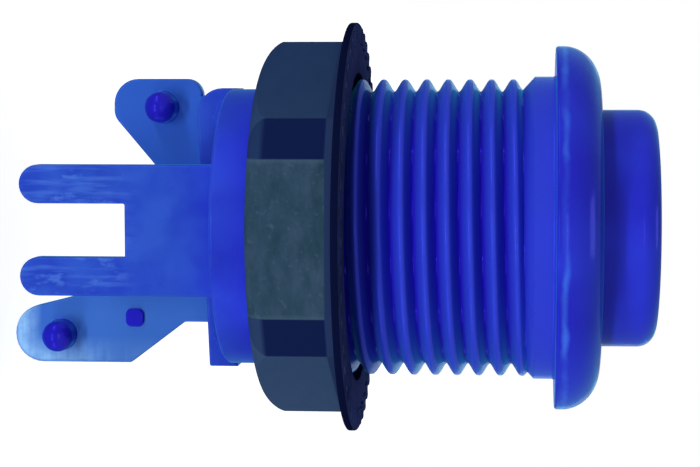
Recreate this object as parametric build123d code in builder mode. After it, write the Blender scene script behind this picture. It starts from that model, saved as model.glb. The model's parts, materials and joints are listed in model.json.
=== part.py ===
"""Push button for a game cabinet, with its panel nut and an empty cradle for a miniature switch.

The origin is the centre of the bezel's underside, where the button sits on the panel.
+Z points out of the panel, towards the finger. Lengths are in millimetres.
"""

import os
from math import ceil, cos, radians, sin

from build123d import *

# Panel hole, and the miniature switch that the cradle is made for
panel_hole_d = 28.6
panel_hole_gap = 0.3
switch_across = 22.2
switch_along = 10.3
switch_width = 10.3
switch_hole_d = 3.1
switch_fit = 0.1

# Bezel and threaded barrel
bezel_overhang = 2.8
bezel_height = 4.1
bezel_side = 0.7
bezel_crown = 3.8
shoulder_length = 2.1
barrel_wall = 1.5
thread_drop = 0.25
thread_pitch = 2.0
thread_depth = 1.0
thread_crest = 0.44
thread_relief = 0.3
thread_length = 24.0
collar_wall = 1.6
collar_length = 3.9
floor_wall = 1.8

# Cradle: heel, fork on the near side and stud plate on the far side
cradle_wall = 1.6
heel_length = 2.7
heel_slant = 1.1
heel_back = 1.0
heel_upper = 12.95
heel_lower = 13.75
heel_round = 2.4
fork_width = 12.0
fork_finger = 3.55
fork_base = 8.75
fork_length = 18.5
stud_gap = 0.05
stud_length = 2.9
stud_dome = 1.1
stud_drop = 7.45
ear_margin = 2.75
ear_round = 2.4
ear_nose = 4.85
ear_front = 3.8
ear_slope = 0.9
ear_step = 1.65
ear_blend = 1.6
notch_upper = 3.1
notch_lower = 4.8
notch_depth = 6.3
tip_nose = 4.6
tip_slope = 2.25
tip_round = 2.75
tip_length = 6.85
waist_across = 1.3
waist_length = 5.55
nub_size = 1.8
nub_height = 0.3
nub_in = 1.7
nub_rise = 7.3

# Plunger
plunger_gap = 0.3
plunger_proud = 9.25
plunger_wall = 1.4
plunger_cap = 1.6
plunger_round = 1.7
skirt_length = 14.0
travel = 2.8
stem_d = 5.0
stem_gap = 0.3
stem_proud = 0.7
stem_edge = 0.8
rib_wall = 1.6
rib_count = 4
seat_depth = 12.0
leg_wall = 1.4
leg_inset = 0.4
leg_width = 5.0
leg_root = 6.0
leg_gap = 0.3
stop_width = 8.0
hook_length = 1.3
hook_reach = 1.2
hook_gap = 0.1

# Return spring
wire_d = 0.8
spring_d = 9.2
spring_turns = 4.5
coil_sides = 20

# Panel nut
nut_wall = 2.0
nut_corner = 1.3
nut_front = 18.1
nut_length = 8.7
nut_round = 2.6
nut_round_length = 2.0
nut_gap = 0.15
flange_reach = 1.8
flange_wall = 0.85

# Straight bands in each rounded edge that is turned
round_bands = 4

# Radii and levels that follow from them
shoulder_r = panel_hole_d / 2 - panel_hole_gap
bezel_r = shoulder_r + bezel_overhang
crest_r = shoulder_r - thread_drop
root_r = crest_r - thread_depth
bore_r = root_r - barrel_wall
collar_r = bore_r + collar_wall
thread_front = -shoulder_length - thread_relief
thread_rear = thread_front - thread_length
thread_turns = ceil((nut_front + thread_front) / thread_pitch)
thread_groove = thread_pitch - thread_crest
floor_rear = thread_rear - collar_length
floor_front = floor_rear + floor_wall
plate_y = switch_width / 2 + switch_fit
plate_back = plate_y + cradle_wall
stud_x = switch_across / 2
stud_r = switch_hole_d / 2 - stud_gap
stud_tip_y = plate_y - stud_length
upper_z = floor_rear - stud_drop
lower_z = upper_z - switch_along
ear_x = stud_x + ear_margin
finger_end = fork_length - fork_finger / 2
plunger_r = bore_r - plunger_gap
skirt_r = plunger_r - plunger_wall
rim_r = plunger_r - plunger_round
rim_z = plunger_proud - plunger_round
cap_under = plunger_proud - plunger_cap
leg_r = plunger_r - leg_inset
leg_inner_r = leg_r - leg_wall
leg_top = leg_root - skirt_length
stem_r = stem_d / 2
hook_top = floor_rear - hook_gap
hook_end = hook_top - hook_length
stop_level = floor_front + travel + hook_gap
heel_y = leg_width / 2 + leg_gap
spring_r = (spring_d - wire_d) / 2
spring_length = -seat_depth - floor_front
coil_steps = round(spring_turns * coil_sides)
nut_rear = -nut_front - nut_length
nut_bore_r = crest_r + nut_gap
nut_flat_r = nut_bore_r + nut_wall
nut_corner_r = nut_flat_r + nut_corner
nut_back_r = nut_corner_r + nut_gap
flange_r = nut_corner_r + flange_reach


def quarter_round(centre_r, centre_z, across, along, start):
    """Points of a quarter ellipse, counter-clockwise from the start angle, one band apart."""
    angles = [radians(start + 90 * band / round_bands) for band in range(round_bands + 1)]
    return [(centre_r + across * cos(a), centre_z + along * sin(a)) for a in angles]


def coil_point(step):
    """A point on the spring's centre line, step by step up from the floor."""
    angle = radians(360 * step / coil_sides)
    rise = spring_length * step / coil_steps
    return (spring_r * cos(angle), spring_r * sin(angle), floor_front + rise)


# Housing: bezel, threaded barrel, floor and switch cradle in one moulding
with BuildPart() as housing:
    with BuildSketch(Plane.XZ):
        with BuildLine():
            Polyline(
                *quarter_round(
                    bezel_r - bezel_crown, bezel_side, bezel_crown, bezel_height - bezel_side, 0
                ),
                (bore_r, bezel_height),
                (bore_r, floor_front),
                (0, floor_front),
                (0, floor_rear),
                (collar_r, floor_rear),
                (collar_r, thread_rear),
                (crest_r, thread_rear),
                (crest_r, thread_front),
                (shoulder_r, -shoulder_length),
                (shoulder_r, 0),
                (bezel_r, 0),
                close=True,
            )
        make_face()
    revolve(axis=Axis.Z)

    # Thread grooves, where the barrel shows in front of the nut
    with BuildSketch(Plane.XZ):
        for turn in range(thread_turns):
            level = thread_front - turn * thread_pitch
            with BuildLine():
                Polyline(
                    (crest_r, level),
                    (root_r, level - thread_groove / 2),
                    (crest_r, level - thread_groove),
                    close=True,
                )
            make_face()
    revolve(axis=Axis.Z, mode=Mode.SUBTRACT)

    # Stem hole and two windows for the snap legs, through the floor
    with BuildSketch(Plane.XY.offset(floor_rear)):
        Circle(leg_r + leg_gap)
        Circle(leg_inner_r - hook_reach, mode=Mode.SUBTRACT)
        Rectangle(2 * crest_r, leg_width + 2 * leg_gap, mode=Mode.INTERSECT)
        Circle(stem_r + stem_gap)
    extrude(amount=floor_wall, mode=Mode.SUBTRACT)

    # Heel that carries the stud plate, rounded at one end
    with BuildSketch(Plane.XZ.offset(-heel_y)):
        with BuildLine():
            FilletPolyline(
                (heel_lower, floor_rear),
                (heel_lower, floor_rear - heel_length),
                (-heel_upper, floor_rear - heel_length - heel_slant),
                (-heel_upper, floor_rear),
                radius=[0, heel_round],
            )
            Line((-heel_upper, floor_rear), (heel_lower, floor_rear))
        make_face()
    extrude(amount=heel_y - plate_back - heel_back)

    # Fork with two round-ended fingers
    with BuildSketch(Plane.XZ.offset(plate_y)):
        with Locations((0, floor_rear)):
            Rectangle(fork_width, fork_base, align=(Align.CENTER, Align.MAX))
        for side in (-1, 1):
            finger_x = side * (fork_width - fork_finger) / 2
            with Locations((finger_x, floor_rear)):
                Rectangle(fork_finger, finger_end, align=(Align.CENTER, Align.MAX))
            with Locations((finger_x, floor_rear - finger_end)):
                Circle(fork_finger / 2)
    extrude(amount=cradle_wall)

    # Stud plate with its two ears, and a notch between them
    with BuildSketch(Plane.XZ.offset(-plate_y)):
        with BuildLine():
            outline = FilletPolyline(
                (ear_step - ear_x, floor_rear),
                (ear_step - ear_x, upper_z + ear_front),
                (-ear_x, upper_z + ear_front),
                (-ear_x, upper_z - ear_nose),
                (ear_slope - stud_x, upper_z - ear_nose),
                (-notch_upper, floor_rear - notch_depth),
                (notch_lower, floor_rear - notch_depth),
                (stud_x - tip_slope, lower_z - tip_nose),
                (ear_x, lower_z - tip_nose),
                (ear_x, lower_z + tip_length),
                (stud_x - waist_across, floor_rear - waist_length),
                (stud_x - waist_across, floor_rear),
                radius=[0, ear_blend, ear_round, ear_blend, 0, 0, tip_round, tip_round, 0, 0],
            )
            Line(outline @ 1, outline @ 0)
        make_face()
    extrude(amount=-cradle_wall)

    # Domed studs for the switch's two holes, and a low square pad between them
    with BuildSketch(Plane.XZ.offset(-plate_y)):
        with Locations((-stud_x, upper_z), (stud_x, lower_z)):
            Circle(stud_r)
    extrude(amount=stud_length)
    stud_tips = housing.faces().filter_by(Plane.XZ).filter_by_position(Axis.Y, stud_tip_y, stud_tip_y)
    chamfer(stud_tips.edges(), stud_dome)
    with BuildSketch(Plane.XZ.offset(-plate_y)):
        with Locations((stud_x - nub_in, lower_z + nub_rise)):
            Rectangle(nub_size, nub_size)
    extrude(amount=nub_height)

# Plunger: cap with a rounded rim on a skirt, with ribs, a stem and two snap legs
with BuildPart() as plunger:
    with BuildSketch(Plane.XZ):
        with BuildLine():
            Polyline(
                *quarter_round(rim_r, rim_z, plunger_round, plunger_round, 0),
                (0, plunger_proud),
                (0, cap_under),
                (skirt_r, cap_under),
                (skirt_r, -skirt_length),
                (plunger_r, -skirt_length),
                close=True,
            )
        make_face()
    revolve(axis=Axis.Z)

    # Crossed ribs, whose lower ends seat the spring
    with BuildSketch(Plane.XY.offset(-seat_depth)):
        with PolarLocations(0, rib_count, start_angle=180 / rib_count):
            Rectangle(skirt_r + plunger_wall / 2, rib_wall, align=(Align.MIN, Align.CENTER))
    extrude(amount=cap_under + seat_depth)

    # Stem that presses the switch
    with BuildSketch(Plane.XY.offset(floor_rear - stem_proud)):
        Circle(stem_r)
    extrude(amount=cap_under + stem_proud - floor_rear)
    chamfer(plunger.edges().sort_by(Axis.Z)[0], stem_edge)

    # Two legs, wide down to the level where they stop on the floor
    for leg_end, width in ((stop_level, stop_width), (hook_end, leg_width)):
        with BuildSketch(Plane.XY.offset(leg_end)):
            Circle(leg_r)
            Circle(leg_inner_r, mode=Mode.SUBTRACT)
            Rectangle(2 * crest_r, width, mode=Mode.INTERSECT)
        extrude(amount=leg_top - leg_end)

    # Hooks under the floor, tapered so that they snap through its windows
    with BuildSketch(Plane.XZ.offset(-leg_width / 2)):
        for side in (-1, 1):
            with BuildLine():
                Polyline(
                    (side * (leg_r - leg_wall / 2), hook_top),
                    (side * (leg_r + hook_reach), hook_top),
                    (side * (leg_r + hook_reach), hook_top - hook_length / 2),
                    (side * (leg_r - leg_wall / 2), hook_end),
                    close=True,
                )
            make_face()
    extrude(amount=leg_width)

# Return spring round the stem, ground flat at both ends
with BuildPart() as return_spring:
    with BuildLine() as coil:
        Polyline(*[coil_point(step) for step in range(coil_steps + 1)])
    with BuildSketch(Plane(coil.line @ 0, x_dir=(0, 0, 1), z_dir=coil.line % 0)):
        Rectangle(wire_d, wire_d)
    sweep(path=coil.line, transition=Transition.RIGHT)
    with BuildSketch(Plane.XY.offset(floor_front)):
        Circle(spring_d)
    extrude(amount=spring_length, mode=Mode.INTERSECT)

# Panel nut: hexagon with blunt corners, rounded behind, and a washer flange in front
with BuildPart() as panel_nut:
    with BuildSketch(Plane.XY.offset(nut_rear)):
        RegularPolygon(nut_flat_r, 6, major_radius=False)
        RegularPolygon(nut_corner_r, 6, major_radius=False, rotation=30, mode=Mode.INTERSECT)
    extrude(amount=nut_length)
    with BuildSketch(Plane.XZ):
        with BuildLine():
            Polyline(
                *quarter_round(
                    nut_back_r - nut_round, nut_rear + nut_round_length, nut_round, nut_round_length, 270
                ),
                (nut_back_r, -nut_front),
                (0, -nut_front),
                (0, nut_rear),
                close=True,
            )
        make_face()
    revolve(axis=Axis.Z, mode=Mode.INTERSECT)
    with BuildSketch(Plane.XZ):
        with BuildLine():
            Polyline(
                (nut_bore_r, -nut_front),
                (flange_r, -nut_front),
                (flange_r, -nut_front - flange_wall),
                (nut_bore_r, -nut_front - flange_wall),
                close=True,
            )
        make_face()
    revolve(axis=Axis.Z)
    with BuildSketch(Plane.XY.offset(nut_rear)):
        Circle(nut_bore_r)
    extrude(amount=nut_length, mode=Mode.SUBTRACT)

# One file for each piece
os.makedirs("parts", exist_ok=True)
pieces = {
    "housing": housing,
    "plunger": plunger,
    "return_spring": return_spring,
    "panel_nut": panel_nut,
}
for name, piece in pieces.items():
    piece.part.label = name
    export_step(piece.part, f"parts/{name}.step")
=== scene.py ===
# %% [markdown]
# A push button for a game cabinet, dressed for its portrait.
#
# The button is three mouldings and a wire: a blue housing with a coarse thread, a blue plunger, a
# dark flanged nut, and a return spring that hides inside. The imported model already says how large
# each piece is and how it moves. This script loads it as a fixed frame, grows a finer skin for every
# piece in the same place, and gives each skin the finish of the real material.

# %% Frame and units
import json
import math

import bmesh
import bpy
from mathutils import Matrix, Vector


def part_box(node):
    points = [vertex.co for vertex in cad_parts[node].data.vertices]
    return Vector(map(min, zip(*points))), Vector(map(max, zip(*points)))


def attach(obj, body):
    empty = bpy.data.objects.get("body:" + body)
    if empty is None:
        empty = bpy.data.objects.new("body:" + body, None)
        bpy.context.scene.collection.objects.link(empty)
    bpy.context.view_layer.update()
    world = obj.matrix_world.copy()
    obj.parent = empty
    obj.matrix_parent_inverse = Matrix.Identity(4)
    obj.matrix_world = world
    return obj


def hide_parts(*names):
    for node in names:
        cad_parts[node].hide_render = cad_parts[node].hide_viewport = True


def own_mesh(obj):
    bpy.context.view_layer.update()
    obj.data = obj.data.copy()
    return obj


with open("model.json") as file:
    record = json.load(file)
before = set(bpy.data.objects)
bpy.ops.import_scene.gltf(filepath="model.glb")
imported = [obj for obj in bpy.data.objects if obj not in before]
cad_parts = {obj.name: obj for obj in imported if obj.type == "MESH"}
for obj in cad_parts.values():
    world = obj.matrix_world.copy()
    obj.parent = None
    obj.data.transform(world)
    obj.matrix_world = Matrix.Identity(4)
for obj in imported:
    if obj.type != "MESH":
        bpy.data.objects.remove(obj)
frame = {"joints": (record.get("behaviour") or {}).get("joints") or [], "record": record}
scene = bpy.context.scene
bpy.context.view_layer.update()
mm = 0.001

# %% [markdown]
# The frame gives the places that other pieces depend on. A box of each node is enough to read the
# bezel's height, the flange's reach, the floor that the spring stands on and the lowest ear. Sizes
# that a box can't tell, such as the pitch of the thread, are set where they are first needed.

# %% Places read from the frame
housing_low, housing_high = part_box("housing")
plunger_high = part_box("plunger")[1]
nut_low, nut_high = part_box("panel_nut")
spring_low, spring_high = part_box("return_spring")
mounts = {mount["name"]: mount for mount in frame["record"]["mounts"]}
joints = {joint["name"]: joint for joint in frame["joints"]}

bezel_r = housing_high.x
bezel_top = housing_high.z
plunger_r = plunger_high.y
plunger_top = plunger_high.z
flange_r = nut_high.x
nut_front = nut_high.z
nut_rear = nut_low.z
floor_front = spring_low.z
rib_seat = spring_high.z
press_travel = joints["plunger_press"]["range_m"][1]
stud_middle = Vector(mounts["switch_studs"]["pos_m"])
plate_y = stud_middle.y
fork_y = -plate_y
print("barrel floor at", round(floor_front / mm, 2), "mm, travel", round(press_travel / mm, 2), "mm")

# %% [markdown]
# Finishes come before shapes, because a Geometry Nodes tree ends by setting a material. All the
# colours are written as sRGB hex values, as a colour picker shows them, and one function turns
# them into the linear values that the renderer adds up. One more function adds a node, so that a
# material reads from top to bottom as a recipe.


# %% Helpers for materials
def linear(hex_colour):
    """Linear RGBA of an sRGB hex colour such as "#2a3cc0"."""
    parts = [int(hex_colour[place : place + 2], 16) / 255 for place in (1, 3, 5)]
    return [part / 12.92 if part <= 0.04045 else ((part + 0.055) / 1.055) ** 2.4 for part in parts] + [1]


def add(tree, kind, sockets=None, **settings):
    """Adds a node. settings are its options, and sockets maps its inputs to nodes, sockets or values."""
    node = tree.nodes.new(kind)
    for name, value in settings.items():
        setattr(node, name, value)
    for place, value in (sockets or {}).items():
        if isinstance(value, bpy.types.Node):
            value = next(output for output in value.outputs if output.enabled)
        if isinstance(value, bpy.types.NodeSocket):
            tree.links.new(value, node.inputs[place])
        else:
            node.inputs[place].default_value = value
    return node


def new_material(name):
    """An empty material and its node tree."""
    material = bpy.data.materials.new(name)
    material.use_nodes = True
    material.node_tree.nodes.clear()
    return material, material.node_tree


def measures(tree):
    """Object coordinates: a point's place, its X, Y and Z, and its distance from the button's axis."""
    place = add(tree, "ShaderNodeTexCoord").outputs["Object"]
    x, y, z = add(tree, "ShaderNodeSeparateXYZ", {0: place}).outputs
    across = add(tree, "ShaderNodeCombineXYZ", {0: x, 1: y})
    return place, x, y, z, add(tree, "ShaderNodeVectorMath", {0: across}, operation="LENGTH")


print("white is", linear("#ffffff")[:3])

# %% [markdown]
# The housing and the plunger are blue ABS from a polished mould: a deep ultramarine with a soft
# sheen. Moulding and use have left marks on it, and light and shade are painted into it as well:
# paler thin walls, a glowing ear, a highlight line on the bezel and shade in the roots of the thread.
# Each mark belongs to one part of the button. None of them is painted by hand. A zone is a share
# that grows from 0 to 1 between two places along an axis or away from it, and a mark lies where all
# of its zones overlap. Zones follow Object coordinates, so that the marks stay on the plastic from
# any side.

# %% Blue ABS, moulded, semi-gloss: zones
blue_abs, tree = new_material("Blue ABS, moulded semi-gloss")
crest_r = 13.75 * mm
thread_rear = -26.4 * mm

place, x, y, z, from_axis = measures(tree)
zones = {}
for name, measure, none_at, full_at in (
    ("up the flank", from_axis, crest_r - 1.15 * mm, crest_r),
    ("outer side", from_axis, 12.2 * mm, 12.3 * mm),
    ("behind the bezel", z, -0.02 * mm, -0.1 * mm),
    ("before the collar", z, thread_rear, thread_rear + 0.2 * mm),
    ("thin walls", z, -26 * mm, -35 * mm),
    ("behind the heel", z, -34.6 * mm, -35 * mm),
    ("fingers", z, -37.5 * mm, -40.5 * mm),
    ("fork's outer face", y, fork_y - 1.3 * mm, fork_y - 1.5 * mm),
    ("far half", y, 0.0, 1 * mm),
    ("stud plate", y, plate_y - 0.2 * mm, plate_y),
    ("before the plate", y, plate_y - 0.01 * mm, plate_y - 0.05 * mm),
    ("long ear", x, 2 * mm, 9 * mm),
):
    zones[name] = add(tree, "ShaderNodeMapRange", {0: measure, 1: none_at, 2: full_at})
for name, parts in (
    ("thread", ("behind the bezel", "before the collar", "outer side")),
    ("thin plate", ("thin walls", "stud plate")),
    ("studs", ("before the plate", "far half", "behind the heel")),
    ("worn fingers", ("fork's outer face", "fingers")),
):
    zones[name] = zones[parts[0]]
    for part in parts[1:]:
        zones[name] = add(tree, "ShaderNodeMath", {0: zones[name], 1: zones[part]}, operation="MULTIPLY")
print("blue zones:", ", ".join(zones))

# %% [markdown]
# The colour drifts slowly where the melt flowed into the mould. Along each ridge of the thread the
# colour runs from painted shade in the roots to paler crests, which are partly rubbed by the nut and
# partly a painted highlight. Walls only a millimetre and a half thick are painted paler and greener
# than the thick barrel, the stud plate more than the fork: painted light, for the light that ABS lets
# through thin walls. Each of these tones runs from one colour to another. The marks are clouds of
# noise, and a cloud that is longer one way than the other makes streaks.

# %% Blue ABS: clouds and tones
clouds = {}
for name, across, along, detail, rough in (
    ("flow", 9 * mm, 9 * mm, 2, 0.5),
    ("blotch", 3.2 * mm, 3.2 * mm, 3, 0.5),
    ("wave", 2.2 * mm, 2.2 * mm, 2, 0.5),
    ("highlight gaps", 7 * mm, 7 * mm, 2, 0.5),
    ("patch", 1.3 * mm, 1.3 * mm, 4, 0.5),
    ("comb", 6 * mm, 0.45 * mm, 1, 0.5),
    ("streaks", 0.55 * mm, 5 * mm, 3, 0.5),
    ("scrapes", 1.1 * mm, 2.6 * mm, 4, 0.6),
    ("grain", 0.45 * mm, 0.45 * mm, 3, 0.5),
):
    sized = {"Vector": place, "Scale": (1 / across, 1 / across, 1 / along)}
    sized = add(tree, "ShaderNodeMapping", sized)
    sized = {"Vector": sized, "Scale": 1.0, "Detail": detail, "Roughness": rough}
    clouds[name] = add(tree, "ShaderNodeTexNoise", sized)
drift = add(tree, "ShaderNodeMapRange", {0: clouds["flow"], 1: 0.35, 2: 0.65})
blotch = add(tree, "ShaderNodeMapRange", {0: clouds["blotch"], 1: 0.35, 2: 0.65})
tones = {}
for name, share, first, second in (
    ("body", drift, "#2023bc", "#2633ca"),
    ("flank", zones["up the flank"], "#200eb0", "#2b3cc8"),
    ("fork", blotch, "#2442b8", "#2e54c2"),
    ("plate", zones["long ear"], "#2f5ec2", "#396ac0"),
):
    ends = {"Factor": share, "A": linear(first), "B": linear(second)}
    tones[name] = add(tree, "ShaderNodeMix", ends, data_type="RGBA")
print("blue tones:", ", ".join(tones))

# %% [markdown]
# A painted highlight runs round the widest part of the bezel, where the halves of the mould meet: a
# pale line, broken in places by noise, and a little noise makes it wander.

# %% Blue ABS: painted highlight line on the bezel
highlight_low = 0.65 * mm
highlight_high = 0.95 * mm
wave = add(tree, "ShaderNodeMapRange", {0: clouds["wave"], 1: 0.3, 2: 0.7, 3: highlight_low, 4: highlight_high})
from_highlight = add(tree, "ShaderNodeMath", {0: z, 1: wave}, operation="SUBTRACT")
from_highlight = add(tree, "ShaderNodeMath", {0: from_highlight}, operation="ABSOLUTE")
highlight_breaks = add(tree, "ShaderNodeMapRange", {0: clouds["highlight gaps"], 1: 0.45, 2: 0.6, 3: 0.12, 4: 0.7})
painted_highlight_line = add(tree, "ShaderNodeMapRange", {0: from_highlight, 1: 0.4 * mm, 2: 0.05 * mm})
for share in (zones["outer side"], highlight_breaks):
    painted_highlight_line = add(tree, "ShaderNodeMath", {0: painted_highlight_line, 1: share}, operation="MULTIPLY")
print("parting line between", round(highlight_low / mm, 2), "and", round(highlight_high / mm, 2), "mm")

# %% [markdown]
# Light comes into the free end of the long ear from three sides, and that glow is painted into its
# colour: the end is palest, with clouds, fine combed lines and a darker rim. The painted glow grows
# with the distance past the middle of the ear's round corner, which is the length of two differences
# that stop at zero.

# %% Blue ABS: painted glow of the long ear
stud_x = 11.1 * mm
ear_round = 2.75 * mm
past = {}
for axis, far, near in ((0, x, stud_x), (1, housing_low.z + ear_round, z)):
    past[axis] = add(tree, "ShaderNodeMath", {0: far, 1: near}, operation="SUBTRACT")
    past[axis] = add(tree, "ShaderNodeMath", {0: past[axis], 1: 0.0}, operation="MAXIMUM")
to_rim = add(tree, "ShaderNodeCombineXYZ", past)
to_rim = add(tree, "ShaderNodeVectorMath", {0: to_rim}, operation="LENGTH")
near_end = add(tree, "ShaderNodeMapRange", {0: z, 1: -43 * mm, 2: -51.5 * mm, 3: 0.15, 4: 1.0})
patch = add(tree, "ShaderNodeMapRange", {0: clouds["patch"], 1: 0.3, 2: 0.6, 3: 0.6, 4: 1.0})
comb = add(tree, "ShaderNodeMapRange", {0: clouds["comb"], 1: 0.35, 2: 0.65, 3: 0.7, 4: 1.0})
rim_from = ear_round - 0.3 * mm
rim_to = ear_round - 0.1 * mm
rim = add(tree, "ShaderNodeMapRange", {0: to_rim, 1: rim_from, 2: rim_to, 3: 1.0, 4: 0.35})
glow = add(tree, "ShaderNodeMapRange", {0: to_rim, 1: 0.1 * mm, 2: 2.2 * mm})
for share in (near_end, zones["thin plate"], patch, comb, rim):
    glow = add(tree, "ShaderNodeMath", {0: glow, 1: share}, operation="MULTIPLY")
print("glow past", round(stud_x / mm, 1), "mm across")

# %% [markdown]
# A switch has scraped the outer face of the two fingers: long rubbed streaks, and shorter torn patches
# on top of them.

# %% Blue ABS: rubbed fingers
streaks = add(tree, "ShaderNodeMapRange", {0: clouds["streaks"], 1: 0.5, 2: 0.72, 3: 0.0, 4: 0.28})
torn = add(tree, "ShaderNodeMapRange", {0: clouds["scrapes"], 1: 0.56, 2: 0.66, 3: 0.0, 4: 0.32})
rubbed = add(tree, "ShaderNodeMath", {0: streaks, 1: torn}, operation="MAXIMUM")
rubbed = add(tree, "ShaderNodeMath", {0: rubbed, 1: zones["worn fingers"]}, operation="MULTIPLY")
print("blue clouds:", ", ".join(clouds))

# %% [markdown]
# The tones and marks lie on one another like coats, each as strong as its share says. The solid studs
# and the pad come late and keep a dark blue, because thick plastic has none of the light that is
# painted into the thin walls.
#
# A plain dielectric turns white where it is seen edge-on, and this plastic turns teal there instead.
# So the usual specular is off, a trace of metallic gives a gloss in the pigment's own blue, a tinted
# sheen gives the teal edges, and a thin coat keeps the sharp glints of the polished mould. The gloss
# drifts with the flow and dulls where it is rubbed, on a barely grained skin.

# %% Blue ABS: coats and shader
colour = tones["body"]
for share, coat in (
    # painted shade in the thread's roots, and paler crests that are partly worn and partly painted highlight
    (zones["thread"], tones["flank"]),
    # painted highlight: the pale line round the bezel
    (painted_highlight_line, linear("#3f78f0")),
    # painted light through the thin walls of the fork and the stud plate
    (zones["thin walls"], tones["fork"]),
    (zones["thin plate"], tones["plate"]),
    # painted glow of the long ear
    (glow, linear("#98ccf6")),
    (zones["studs"], linear("#211eb6")),
    (rubbed, linear("#5f92de")),
):
    colour = add(tree, "ShaderNodeMix", {"Factor": share, "A": colour, "B": coat}, data_type="RGBA")
gloss = add(tree, "ShaderNodeMapRange", {0: clouds["flow"], 1: 0.3, 2: 0.7, 3: 0.25, 4: 0.35})
roughness = add(tree, "ShaderNodeMath", {0: rubbed, 1: 0.3, 2: gloss}, operation="MULTIPLY_ADD")
bump = {"Height": clouds["grain"], "Strength": 0.05, "Distance": 0.04 * mm}
bump = add(tree, "ShaderNodeBump", bump)
shader = add(
    tree,
    "ShaderNodeBsdfPrincipled",
    {
        "Base Color": colour,
        "Roughness": roughness,
        "IOR": 1.5,
        "Metallic": 0.15,
        "Specular IOR Level": 0.0,
        "Specular Tint": linear("#58d8ff"),
        "Coat Weight": 0.12,
        "Coat Roughness": 0.1,
        "Sheen Weight": 0.6,
        "Sheen Roughness": 0.3,
        "Sheen Tint": linear("#48cce4"),
        "Normal": bump,
    },
)
add(tree, "ShaderNodeOutputMaterial", {"Surface": shader})
print(blue_abs.name, "with", len(tree.nodes), "nodes")

# %% [markdown]
# The nut is a dark slate nylon moulding. A point is on one of its six flats where its distance from
# the flat's middle, measured along the flat, is less than half the flat's length. So the zones of the
# nut need no drawing either: they follow from the angle and the radius.

# %% Slate nylon, moulded, satin: zones
slate_nylon, tree = new_material("Slate nylon, moulded satin")
flat_r = 15.9 * mm
flat_half = 6.86 * mm

place, x, y, z, from_axis = measures(tree)
angle = add(tree, "ShaderNodeMath", {0: y, 1: x}, operation="ARCTAN2")
from_corner = add(tree, "ShaderNodeMath", {0: angle, 1: math.pi / 6}, operation="PINGPONG")
from_flat = add(tree, "ShaderNodeMath", {0: math.pi / 6, 1: from_corner}, operation="SUBTRACT")
aside = add(tree, "ShaderNodeMath", {0: from_flat}, operation="SINE")
aside = add(tree, "ShaderNodeMath", {0: from_axis, 1: aside}, operation="MULTIPLY")
sideways = add(tree, "ShaderNodeMath", {0: y, 1: from_axis}, operation="DIVIDE")
sideways = add(tree, "ShaderNodeMath", {0: sideways}, operation="ABSOLUTE")
zones = {}
for name, measure, none_at, full_at, least, most in (
    ("along a flat", aside, flat_half + 0.05 * mm, flat_half - 0.1 * mm, 0.0, 1.0),
    ("end of a flat", aside, flat_half - 0.45 * mm, flat_half - 0.1 * mm, 0.0, 0.22),
    ("outer side", from_axis, 14.2 * mm, 14.6 * mm, 0.0, 1.0),
    ("gripped", sideways, 0.86, 0.87, 0.15, 1.0),
    ("lighter towards +X", x, -flat_r, flat_r, 0.0, 1.0),
    ("back", z, nut_rear + 1.8 * mm, nut_rear + 1.3 * mm, 0.0, 0.6),
    ("beside the flange", z, nut_front - 1.75 * mm, nut_front - 1.6 * mm, 0.0, 1.0),
    ("flange", z, nut_front - 0.9 * mm, nut_front - 0.84 * mm, 0.0, 1.0),
    ("front", z, nut_front - 0.22 * mm, nut_front - 0.16 * mm, 0.0, 1.0),
):
    limits = {0: measure, 1: none_at, 2: full_at, 3: least, 4: most}
    zones[name] = add(tree, "ShaderNodeMapRange", limits)
print("nut zones:", ", ".join(zones))

# %% [markdown]
# The rim of the flange is nearly black. The blunt corners are left as dark, and the six flats and the
# rounded back are painted paler, more so towards +X: painted light and shade, for the way each face
# meets the light. A spanner has gripped two of the flats: those are cloudy, greener and matt, with
# pale nicks, and with pale ends that are partly worn and partly a painted edge highlight, as far as the
# smooth band beside the flange that a spanner doesn't reach. The panel has rubbed the front of the
# flange.

# %% Slate nylon: painted light and wear
clouds = {}
for name, across, along, detail, rough in (
    ("mottle", 3.6 * mm, 1.6 * mm, 6, 0.7),
    ("nicks", 0.5 * mm, 0.5 * mm, 3, 0.5),
    ("pits", 0.3 * mm, 0.3 * mm, 3, 0.5),
):
    sized = {"Vector": place, "Scale": (1 / across, 1 / across, 1 / along)}
    sized = add(tree, "ShaderNodeMapping", sized)
    sized = {"Vector": sized, "Scale": 1.0, "Detail": detail, "Roughness": rough}
    clouds[name] = add(tree, "ShaderNodeTexNoise", sized)
on_flat = {0: zones["along a flat"], 1: zones["outer side"]}
on_flat = add(tree, "ShaderNodeMath", on_flat, operation="MULTIPLY")
painted_lit_faces = add(tree, "ShaderNodeMath", {0: on_flat, 1: zones["back"]}, operation="MAXIMUM")
scuffed = add(tree, "ShaderNodeMath", {0: on_flat, 1: zones["gripped"]}, operation="MULTIPLY")
cloudy = add(tree, "ShaderNodeMapRange", {0: clouds["mottle"], 1: 0.25, 2: 0.75})
nicked = add(tree, "ShaderNodeMapRange", {0: clouds["nicks"], 1: 0.6, 2: 0.74, 3: 0.0, 4: 0.3})
nicked_and_highlit_edges = add(tree, "ShaderNodeMath", {0: nicked, 1: zones["end of a flat"]}, operation="MAXIMUM")
nicked_and_highlit_edges = add(tree, "ShaderNodeMath", {0: nicked_and_highlit_edges, 1: scuffed}, operation="MULTIPLY")
rubbed = add(tree, "ShaderNodeMapRange", {0: clouds["mottle"], 1: 0.35, 2: 0.65, 3: 0.5, 4: 1.0})
rubbed = add(tree, "ShaderNodeMath", {0: rubbed, 1: zones["front"]}, operation="MULTIPLY")
print("nut clouds:", ", ".join(clouds))

# %% [markdown]
# The coats go on as they did on the blue mouldings. Nylon is duller than ABS and finely pitted, and
# the gripped flats are duller still.

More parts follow.
